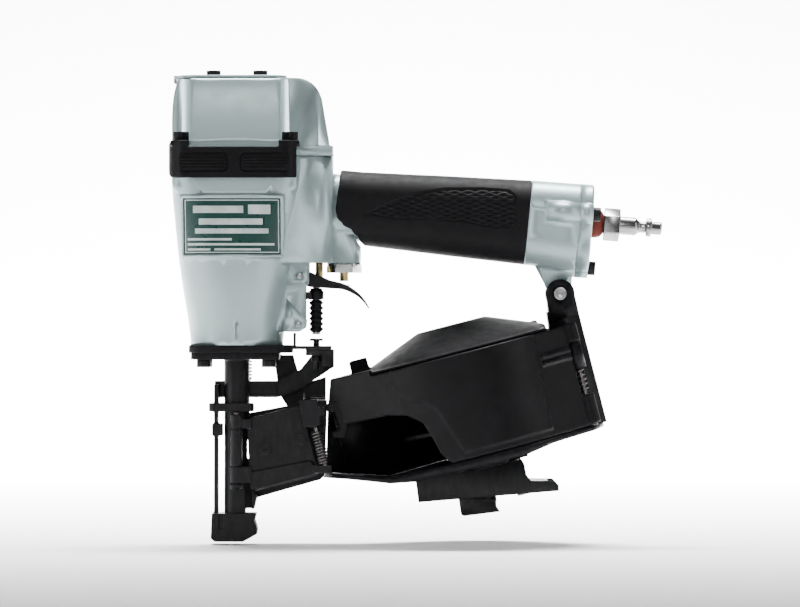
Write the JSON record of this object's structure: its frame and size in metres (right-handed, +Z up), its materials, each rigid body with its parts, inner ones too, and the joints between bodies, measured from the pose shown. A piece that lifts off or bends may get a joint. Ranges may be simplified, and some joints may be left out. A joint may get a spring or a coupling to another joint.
{
  "type": "pneumatic nail gun",
  "caption": "Pneumatic coil nail gun with capped barrel, rubber grip, trigger, air plug, drum magazine with swinging cover, hinged feed door and sliding contact arm.",
  "frame": {"origin": "centre of the nail exit at the contact foot's lower face, with the contact arm at rest", "axes": "+Z up the barrel, +X back along the handle and magazine, +Y to the tool's far side, away from the magazine cover"},
  "size_m": [0.2946, 0.1208, 0.2822],
  "materials": {
    "paint": "metallic silver green paint",
    "black_steel": "black oxide and black paint on steel",
    "black_plastic": "moulded glass filled nylon",
    "rubber": "moulded rubber",
    "steel": "machined steel",
    "spring_steel": "oiled spring steel",
    "chrome": "nickel plated steel",
    "brass": "turned brass",
    "aluminium": "machined aluminium",
    "label": "printed plate",
    "seal_red": "red brown seal"
  },
  "bodies": {
    "body": {"body_housing": "paint", "name_plate": "label", "body_seals": "rubber", "top_cap": "paint", "exhaust_cover": "paint", "exhaust_cover_screws": "black_steel", "guard": "black_plastic", "guard_pads": "rubber", "cap_bolts": "black_steel", "cylinder_liner": "aluminium", "piston_bumper": "rubber", "head_valve_spring": "spring_steel", "nose_gasket": "rubber", "nose": "black_steel", "nose_bolts": "black_steel", "contact_arm_spring": "spring_steel", "plunger_housing": "black_steel", "boot": "rubber", "trigger_pins": "steel", "trigger_spring": "spring_steel", "valve_body": "chrome", "valve_spring": "spring_steel", "grip": "rubber", "rear_cap": "paint", "rear_cap_bolts": "black_steel", "inlet_bush": "seal_red", "air_plug": "chrome", "magazine_shell": "black_plastic", "magazine_lid": "black_plastic", "magazine_base": "black_plastic", "cover_hinge_pin": "spring_steel", "cover_spring": "spring_steel", "magazine_bolts": "steel", "door_hinge_pin": "spring_steel", "feed_cylinder": "aluminium"},
    "trigger": {"trigger": "black_steel", "trigger_arm": "steel"},
    "valve_plunger": {"valve_plunger": "brass"},
    "contact_arm": {"contact_arm": "black_steel", "contact_arm_bracket": "black_steel", "guide_plate": "black_steel", "adjuster_stem": "black_steel"},
    "adjuster_nut": {"adjuster_nut": "black_steel"},
    "push_rod": {"push_rod": "steel", "safety_stem": "brass"},
    "driver": {"piston": "aluminium", "piston_ring": "rubber", "driver_blade": "steel"},
    "head_valve": {"head_valve": "black_plastic"},
    "feed_piston": {"feed_piston": "steel"},
    "feed_pawl": {"feed_pawl": "steel"},
    "feed_door": {"feed_door": "black_steel", "door_screws": "black_steel", "latch_rod": "spring_steel", "latch_spring": "spring_steel"},
    "latch": {"latch_block": "black_steel"},
    "magazine_cover": {"magazine_cover": "black_plastic"},
    "nail_post": {"nail_post": "steel"},
    "nail_tray": {"nail_tray": "black_plastic"},
    "shingle_guide": {"shingle_guide": "black_steel"}
  },
  "joints": [
    {"name": "trigger_pull", "type": "hinge", "parent": "body", "child": "trigger", "pos_m": [0.0379, 0, 0.1589], "axis": [0, -1, 0], "range_deg": [0, 10], "stiffness_Nm_per_rad": 0.6, "springref_deg": -8.59},
    {"name": "valve_plunger_slide", "type": "slide", "parent": "body", "child": "valve_plunger", "axis": [0, 0, 1], "range_m": [0, 0.0029], "deforming": ["valve_spring"]},
    {"name": "contact_arm_slide", "type": "slide", "parent": "body", "child": "contact_arm", "axis": [0, 0, 1], "range_m": [0, 0.008], "stiffness_N_per_m": 900, "springref_m": -0.004, "deforming": ["contact_arm_spring"]},
    {"name": "adjuster_nut_spin", "type": "hinge", "parent": "contact_arm", "child": "adjuster_nut", "pos_m": [0.0476, 0, 0.109], "axis": [0, 0, 1], "continuous": true},
    {"name": "push_rod_slide", "type": "slide", "parent": "body", "child": "push_rod", "axis": [0, 0, 1], "range_m": [0, 0.0058], "deforming": ["boot"]},
    {"name": "driver_stroke", "type": "slide", "parent": "body", "child": "driver", "axis": [0, 0, -1], "range_m": [0, 0.058]},
    {"name": "head_valve_lift", "type": "slide", "parent": "body", "child": "head_valve", "axis": [0, 0, 1], "range_m": [0, 0.004], "stiffness_N_per_m": 1500, "springref_m": -0.004, "deforming": ["head_valve_spring"]},
    {"name": "feed_stroke", "type": "slide", "parent": "body", "child": "feed_piston", "axis": [1, 0, 0], "range_m": [0, 0.009], "stiffness_N_per_m": 400, "springref_m": -0.005},
    {"name": "feed_pawl_swing", "type": "hinge", "parent": "feed_piston", "child": "feed_pawl", "pos_m": [0.0165, 0.0128, 0.055], "axis": [0, 0, -1], "range_deg": [0, 20], "stiffness_Nm_per_rad": 0.01, "springref_deg": -11.46},
    {"name": "feed_door_hinge", "type": "hinge", "parent": "body", "child": "feed_door", "pos_m": [0, -0.0115, 0.055], "axis": [0, 0, -1], "range_deg": [0, 110]},
    {"name": "latch_slide", "type": "slide", "parent": "feed_door", "child": "latch", "axis": [0.2405, 0, -0.9706], "range_m": [0, 0.006], "stiffness_N_per_m": 500, "springref_m": -0.006, "deforming": ["latch_spring"]},
    {"name": "magazine_cover_hinge", "type": "hinge", "parent": "body", "child": "magazine_cover", "pos_m": [0.20597, -0.016, 0.09913], "axis": [-0.2504, 0, 0.9681], "range_deg": [0, 95]},
    {"name": "nail_post_slide", "type": "slide", "parent": "body", "child": "nail_post", "axis": [-0.2504, 0, 0.9681], "range_m": [0, 0.013]},
    {"name": "nail_tray_spin", "type": "hinge", "parent": "nail_post", "child": "nail_tray", "pos_m": [0.14071, 0, 0.08225], "axis": [-0.2504, 0, 0.9681], "continuous": true},
    {"name": "shingle_guide_slide", "type": "slide", "parent": "body", "child": "shingle_guide", "axis": [0.9681, 0, 0.2504], "range_m": [-0.011, 0.011]}
  ],
  "couplings": [
    {"joint": "valve_plunger_slide", "follows": "trigger_pull", "m_per_rad": 0.0163},
    {"joint": "push_rod_slide", "follows": "contact_arm_slide", "ratio": 0.7125}
  ]
}
